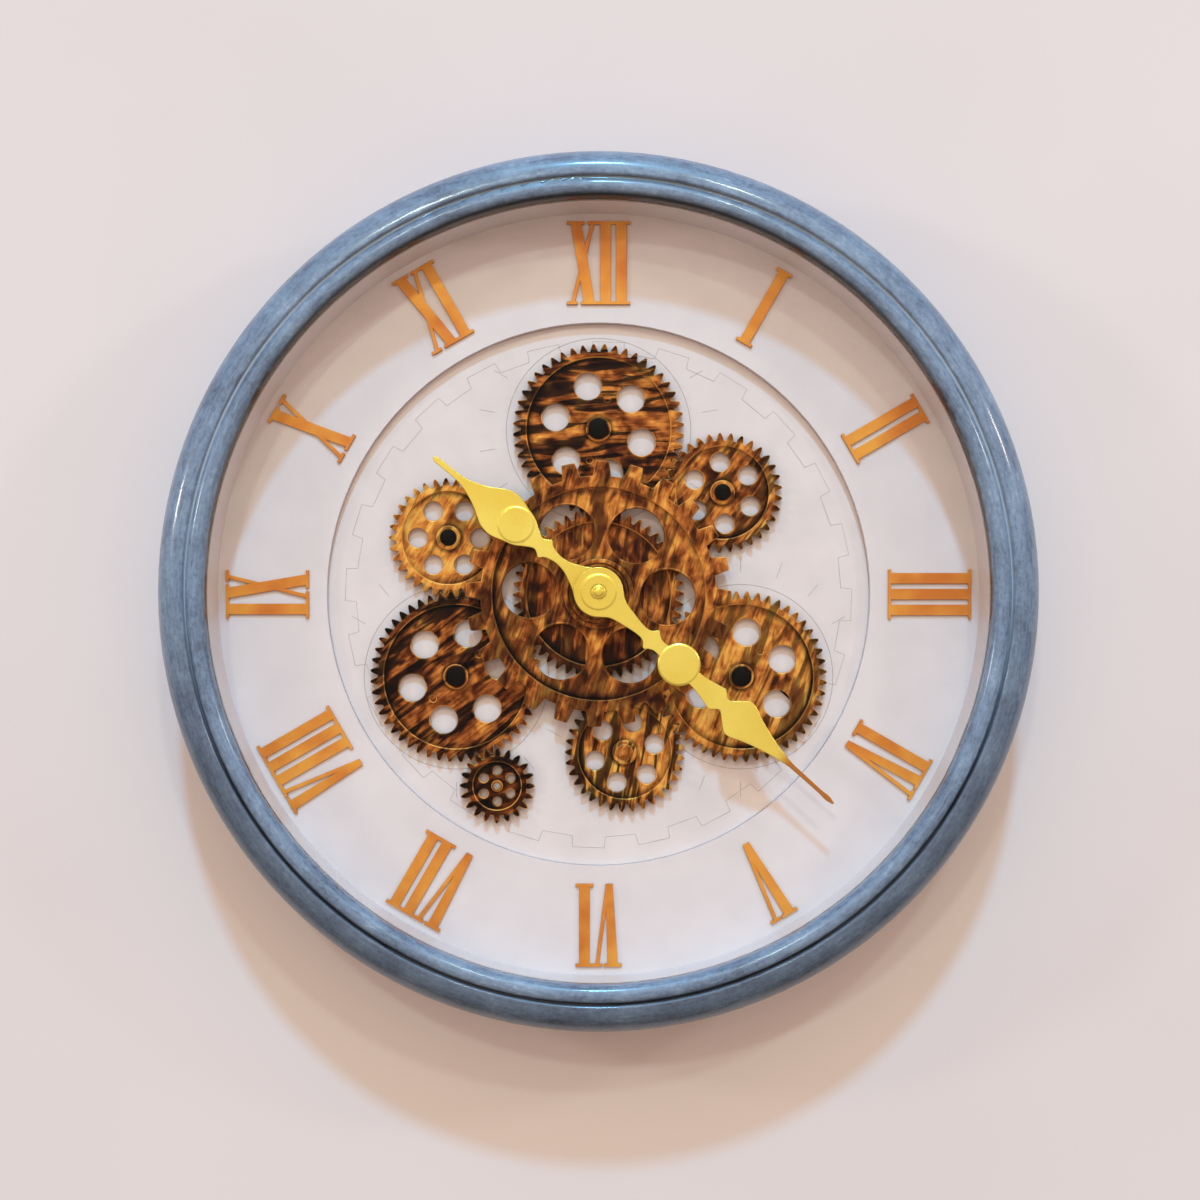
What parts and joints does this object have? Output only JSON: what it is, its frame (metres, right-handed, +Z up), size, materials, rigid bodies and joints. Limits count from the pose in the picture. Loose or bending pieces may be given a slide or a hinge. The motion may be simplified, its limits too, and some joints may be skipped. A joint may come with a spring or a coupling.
{
  "type": "gear wall clock",
  "caption": "Round glazed wall clock with a painted ring, applied Roman numerals, gold hands and an open gear train that turns behind the hands.",
  "frame": {"origin": "centre of the hanging keyhole, on the wall plane", "axes": "+Z up, +X to the right as one faces the dial, +Y into the wall; the dial faces -Y and the hands' axis is parallel to Y, 205 mm below the origin"},
  "size_m": [0.5, 0.072, 0.5],
  "materials": {
    "painted_abs": "satin blue lacquer rubbed dark along the ring",
    "gasket_rubber": "matt black",
    "clear_glass": "flat clear glass",
    "white_abs": "warm white",
    "printed_sheet": "warm white with faint printed gear lines",
    "black_abs": "fine moulded grain",
    "black_caps": "black",
    "antique_bronze": "brushed, with dark brown patina",
    "light_bronze": "brushed, with light patina",
    "brass": "turned",
    "steel": "zinc plated",
    "gold_hands": "bright satin gold",
    "gold_numerals": "gold film over plastic",
    "cell_jacket": "plain printed jacket",
    "pale_abs": "moulded"
  },
  "bodies": {
    "root": {"bezel_ring": "painted_abs", "glass_gasket": "gasket_rubber", "front_glass": "clear_glass", "side_liner": "white_abs", "chapter_ring": "white_abs", "dial_board": "white_abs", "inner_dial": "printed_sheet", "rear_cover": "black_abs", "back_spacer": "black_abs", "cover_screws": "steel", "hanger_plate": "steel", "hanger_screws": "steel", "wall_bumpers": "gasket_rubber", "centre_sleeve": "brass", "sleeve_washer": "brass", "bush_nut": "brass", "gear_studs": "steel", "stud_caps": "black_caps", "bottom_stud_cap": "antique_bronze", "movement_case": "black_abs", "movement_bush": "brass", "movement_washer": "gasket_rubber", "movement_cell": "cell_jacket", "gear_motor": "black_abs", "motor_screws": "steel", "motor_cell": "cell_jacket", "cell_contacts": "steel", "numeral_i": "gold_numerals", "numeral_ii": "gold_numerals", "numeral_iii": "gold_numerals", "numeral_iv": "gold_numerals", "numeral_v": "gold_numerals", "numeral_vi": "gold_numerals", "numeral_vii": "gold_numerals", "numeral_viii": "gold_numerals", "numeral_ix": "gold_numerals", "numeral_x": "gold_numerals", "numeral_xi": "gold_numerals", "numeral_xii": "gold_numerals"},
    "centre_train": {"centre_wheel": "antique_bronze", "sun_gear": "antique_bronze"},
    "top_train": {"top_gear": "antique_bronze"},
    "right_train": {"right_gear": "antique_bronze"},
    "lower_left_train": {"lower_left_gear": "antique_bronze"},
    "upper_right_train": {"upper_right_gear": "antique_bronze"},
    "bottom_train": {"bottom_gear": "antique_bronze"},
    "left_train": {"left_gear": "light_bronze"},
    "pinion_train": {"drive_pinion": "antique_bronze", "pinion_shaft": "steel"},
    "minute_body": {"minute_hand": "gold_hands", "minute_shaft": "steel", "hand_nut": "gold_hands"},
    "hour_body": {"hour_hand": "gold_hands", "hour_tube": "brass"},
    "knob_body": {"setting_knob": "pale_abs"},
    "switch_body": {"motor_switch": "pale_abs"}
  },
  "joints": [
    {"name": "centre_turn", "type": "hinge", "parent": "root", "child": "centre_train", "pos_m": [0, -0.032, -0.205], "axis": [0, 1, 0], "continuous": true},
    {"name": "top_gear_turn", "type": "hinge", "parent": "root", "child": "top_train", "pos_m": [0, -0.032, -0.109], "axis": [0, 1, 0], "continuous": true},
    {"name": "right_gear_turn", "type": "hinge", "parent": "root", "child": "right_train", "pos_m": [0.08314, -0.032, -0.253], "axis": [0, 1, 0], "continuous": true},
    {"name": "lower_left_gear_turn", "type": "hinge", "parent": "root", "child": "lower_left_train", "pos_m": [-0.08314, -0.032, -0.253], "axis": [0, 1, 0], "continuous": true},
    {"name": "upper_right_gear_turn", "type": "hinge", "parent": "root", "child": "upper_right_train", "pos_m": [0.07217, -0.032, -0.14577], "axis": [0, 1, 0], "continuous": true},
    {"name": "bottom_gear_turn", "type": "hinge", "parent": "root", "child": "bottom_train", "pos_m": [0.01521, -0.032, -0.29712], "axis": [0, 1, 0], "continuous": true},
    {"name": "left_gear_turn", "type": "hinge", "parent": "root", "child": "left_train", "pos_m": [-0.08738, -0.032, -0.17211], "axis": [0, 1, 0], "continuous": true},
    {"name": "pinion_turn", "type": "hinge", "parent": "root", "child": "pinion_train", "pos_m": [-0.0591, -0.032, -0.31661], "axis": [0, 1, 0], "continuous": true},
    {"name": "minute_turn", "type": "hinge", "parent": "root", "child": "minute_body", "pos_m": [0, -0.032, -0.205], "axis": [0, 1, 0], "continuous": true},
    {"name": "hour_turn", "type": "hinge", "parent": "root", "child": "hour_body", "pos_m": [0, -0.032, -0.205], "axis": [0, 1, 0], "continuous": true},
    {"name": "knob_turn", "type": "hinge", "parent": "root", "child": "knob_body", "pos_m": [0.015, -0.032, -0.192], "axis": [0, 1, 0], "continuous": true},
    {"name": "switch_slide", "type": "slide", "parent": "root", "child": "switch_body", "axis": [1, 0, 0], "range_m": [0, 0.004]}
  ],
  "couplings": [
    {"joint": "top_gear_turn", "follows": "centre_turn", "ratio": -1},
    {"joint": "right_gear_turn", "follows": "centre_turn", "ratio": -1},
    {"joint": "lower_left_gear_turn", "follows": "centre_turn", "ratio": -1},
    {"joint": "upper_right_gear_turn", "follows": "centre_turn", "ratio": 1.4545},
    {"joint": "bottom_gear_turn", "follows": "centre_turn", "ratio": 1.4545},
    {"joint": "left_gear_turn", "follows": "centre_turn", "ratio": 1.4545},
    {"joint": "pinion_turn", "follows": "centre_turn", "ratio": 2.4},
    {"joint": "hour_turn", "follows": "minute_turn", "ratio": 0.083333},
    {"joint": "knob_turn", "follows": "minute_turn", "ratio": 1}
  ]
}
